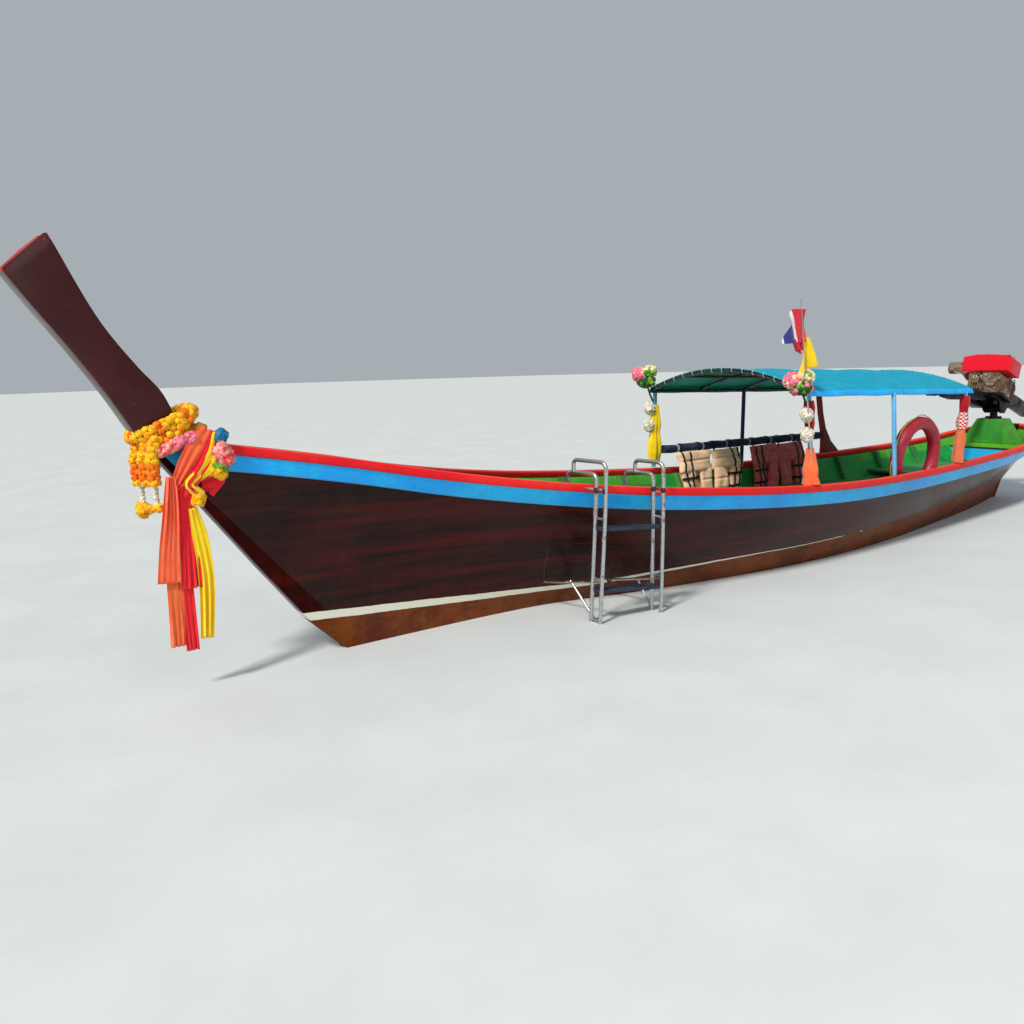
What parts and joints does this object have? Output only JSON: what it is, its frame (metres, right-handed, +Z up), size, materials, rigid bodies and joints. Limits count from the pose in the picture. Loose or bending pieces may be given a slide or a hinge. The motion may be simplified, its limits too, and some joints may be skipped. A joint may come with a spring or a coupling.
{
  "type": "longtail boat",
  "caption": "Open wooden passenger boat with raked prow, cloth canopy on posts, hooked boarding ladder and a swivelling, tilting long-shaft outboard engine.",
  "frame": {"origin": "on the centreline at the waterline, midway between the feet of the stem and the stern post", "axes": "+X towards the bow, +Y to port, +Z up"},
  "size_m": [12.643, 1.7105, 2.645],
  "materials": {
    "keel_wood": "painted, worn",
    "planking": "gloss paint over planks",
    "rub_strake": "painted",
    "gunwale": "painted, worn",
    "inside_green": "painted, worn",
    "floor_boards": "painted, worn",
    "foredeck": "painted",
    "stern_deck": "painted",
    "stern_platform": "painted",
    "canopy_cloth": "woven sheet",
    "canopy_frame": "painted tube",
    "pole_paint": "painted tube",
    "dark_pole": "painted",
    "roll_cloth": "rolled sheet",
    "jacket_peach": "foam under cloth",
    "jacket_maroon": "foam under cloth",
    "ring": "painted foam",
    "stainless": "bent tube",
    "tread": "ribbed",
    "garland": "flowers on a string",
    "cloth": "tied cloth",
    "flowers": "bunch of flowers",
    "flag": "cloth on a thin pole",
    "black_steel": "painted steel",
    "engine_metal": "worn castings",
    "tank_paint": "gloss paint",
    "muffler": "dull, stained",
    "flywheel_iron": "turned iron",
    "tiller_paint": "painted tube",
    "brass": "polished at the edges"
  },
  "bodies": {
    "hull": {"keel": "keel_wood", "stem_post": "keel_wood", "stern_post": "keel_wood", "planking_port": "planking", "planking_starboard": "planking", "bottom_planks_port": "planking", "bottom_planks_starboard": "planking", "rub_strake_port": "rub_strake", "rub_strake_starboard": "rub_strake", "gunwale_cap_port": "gunwale", "gunwale_cap_starboard": "gunwale", "floor_timbers": "inside_green", "ribs_port": "inside_green", "ribs_starboard": "inside_green", "thwart_1": "inside_green", "thwart_2": "inside_green", "thwart_3": "inside_green", "engine_pedestal": "inside_green", "floor_boards": "floor_boards", "foredeck": "foredeck", "stern_deck": "stern_deck", "stern_platform": "stern_platform", "canopy_cover": "canopy_cloth", "canopy_frame": "canopy_frame", "post_port_front": "pole_paint", "post_port_middle": "pole_paint", "post_port_rear": "pole_paint", "post_starboard_front": "pole_paint", "post_starboard_middle": "dark_pole", "post_starboard_rear": "dark_pole", "side_roll": "roll_cloth", "life_jacket_1": "jacket_peach", "life_jacket_2": "jacket_peach", "life_jacket_3": "jacket_maroon", "life_jacket_4": "jacket_maroon", "life_ring": "ring", "ladder_side_fore": "stainless", "ladder_side_aft": "stainless", "ladder_tread_upper": "tread", "ladder_tread_middle": "tread", "ladder_tread_lower": "tread", "prow_garland": "garland", "prow_sashes": "cloth", "prow_streamers": "cloth", "post_cloth_port_front": "cloth", "post_cloth_port_rear": "cloth", "post_cloth_starboard_front": "cloth", "bouquet_port": "flowers", "bouquet_starboard": "flowers", "flag_pole": "flag"},
    "swivel": {"swivel_bracket": "black_steel"},
    "engine": {"engine_bed": "black_steel", "engine_block": "engine_metal", "fuel_tank": "tank_paint", "muffler": "muffler", "flywheel": "flywheel_iron", "tiller": "tiller_paint", "tail_tube": "black_steel"},
    "propeller": {"propeller": "brass"}
  },
  "joints": [
    {"name": "engine_yaw", "type": "hinge", "parent": "hull", "child": "swivel", "pos_m": [-3.97, 0, 0.95], "axis": [0, 0, 1], "range_deg": [-40, 40]},
    {"name": "engine_tilt", "type": "hinge", "parent": "swivel", "child": "engine", "pos_m": [-3.97, 0, 0.95], "axis": [0, 1, 0], "range_deg": [-5, 22]},
    {"name": "propeller_spin", "type": "hinge", "parent": "engine", "child": "propeller", "pos_m": [-4.03498, 0, 1.12854], "axis": [-0.9397, 0, -0.342], "continuous": true}
  ]
}
